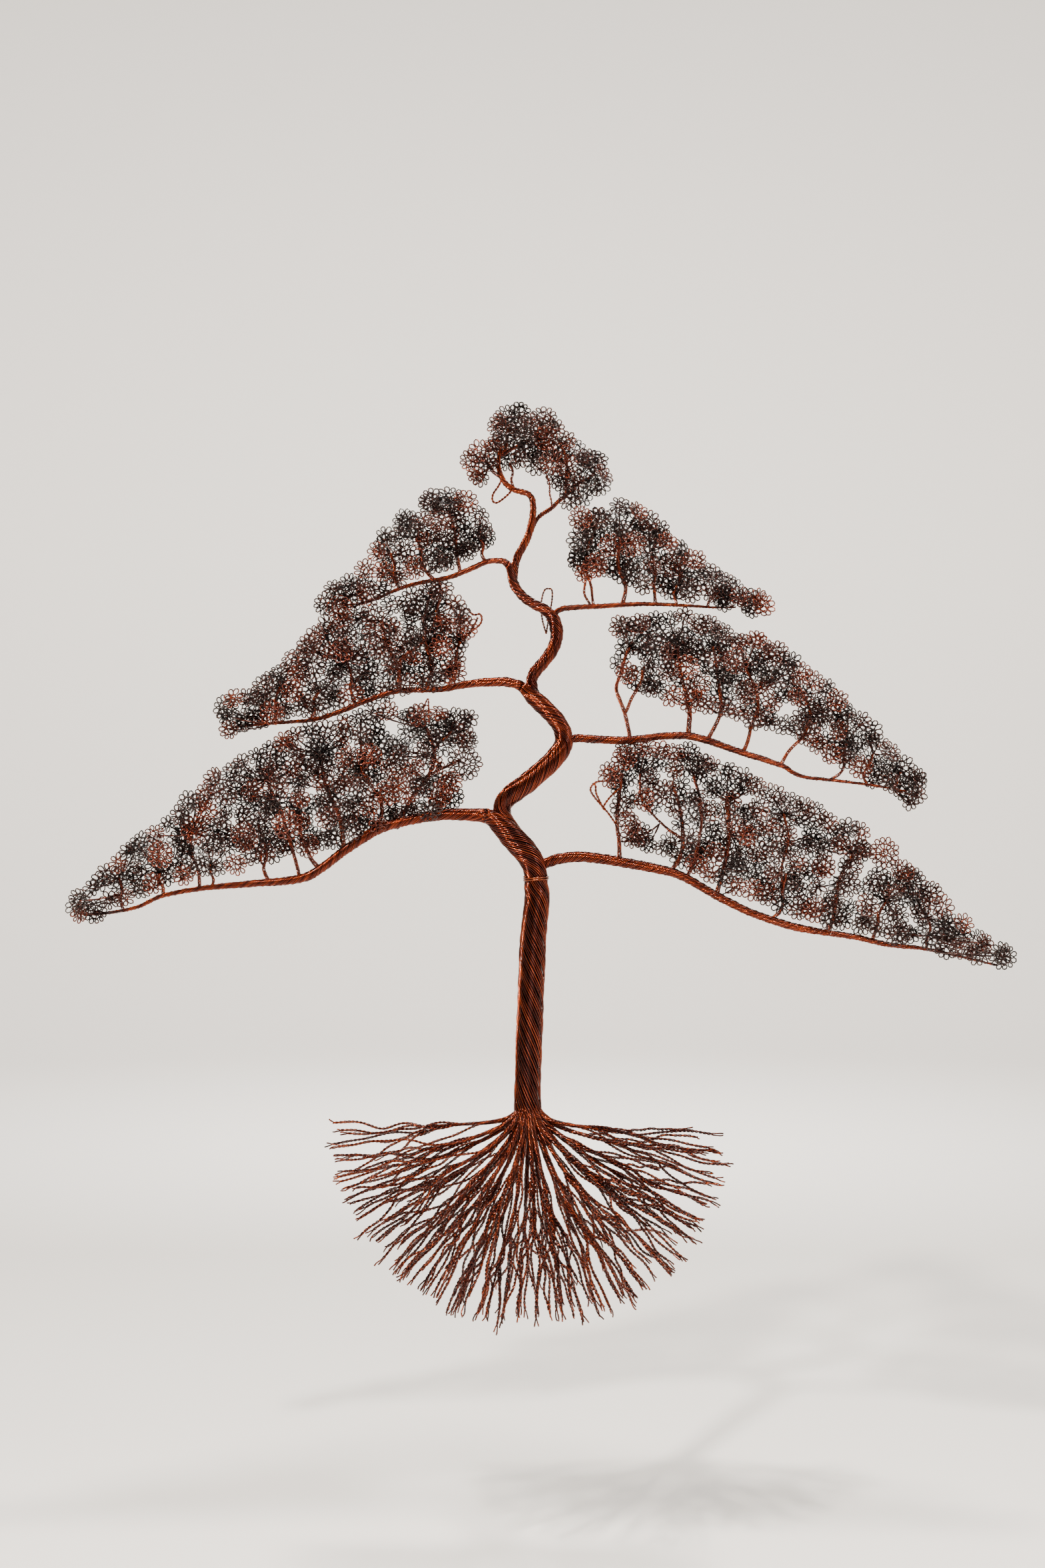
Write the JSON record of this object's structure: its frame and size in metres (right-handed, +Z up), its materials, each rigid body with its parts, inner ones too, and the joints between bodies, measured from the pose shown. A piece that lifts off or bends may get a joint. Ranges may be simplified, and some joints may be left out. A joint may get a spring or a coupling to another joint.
{
  "type": "wire tree wall sculpture",
  "caption": "Wall-hung tree of twisted copper wire: rope-like trunk, layered side branches with rosette foliage, a fan of loose roots and a hanging loop.",
  "frame": {"origin": "the bearing point at the inside top of the hanging loop, where the tree hangs", "axes": "+Z up, +X to the viewer's right, +Y from the front of the tree towards the wall"},
  "size_m": [0.9321, 0.1415, 0.9075],
  "materials": {
    "copper_bundle": "glossy red-brown copper wire",
    "copper_foliage": "darker glossy copper wire",
    "copper_roots": "glossy red-brown copper wire",
    "copper_strand": "glossy copper wire"
  },
  "bodies": {
    "root": {"trunk": "copper_bundle", "binding_wrap": "copper_strand", "hanging_loop": "copper_strand", "left_lower_branch": "copper_bundle", "left_middle_branch": "copper_bundle", "left_upper_branch": "copper_bundle", "right_lower_branch": "copper_bundle", "right_middle_branch": "copper_bundle", "right_upper_branch": "copper_bundle", "crown_left_branch": "copper_bundle", "crown_right_branch": "copper_bundle", "left_lower_foliage": "copper_foliage", "left_middle_foliage": "copper_foliage", "left_upper_foliage": "copper_foliage", "right_lower_foliage": "copper_foliage", "right_middle_foliage": "copper_foliage", "right_upper_foliage": "copper_foliage", "crown_foliage": "copper_foliage", "roots": "copper_roots"}
  },
  "joints": []
}
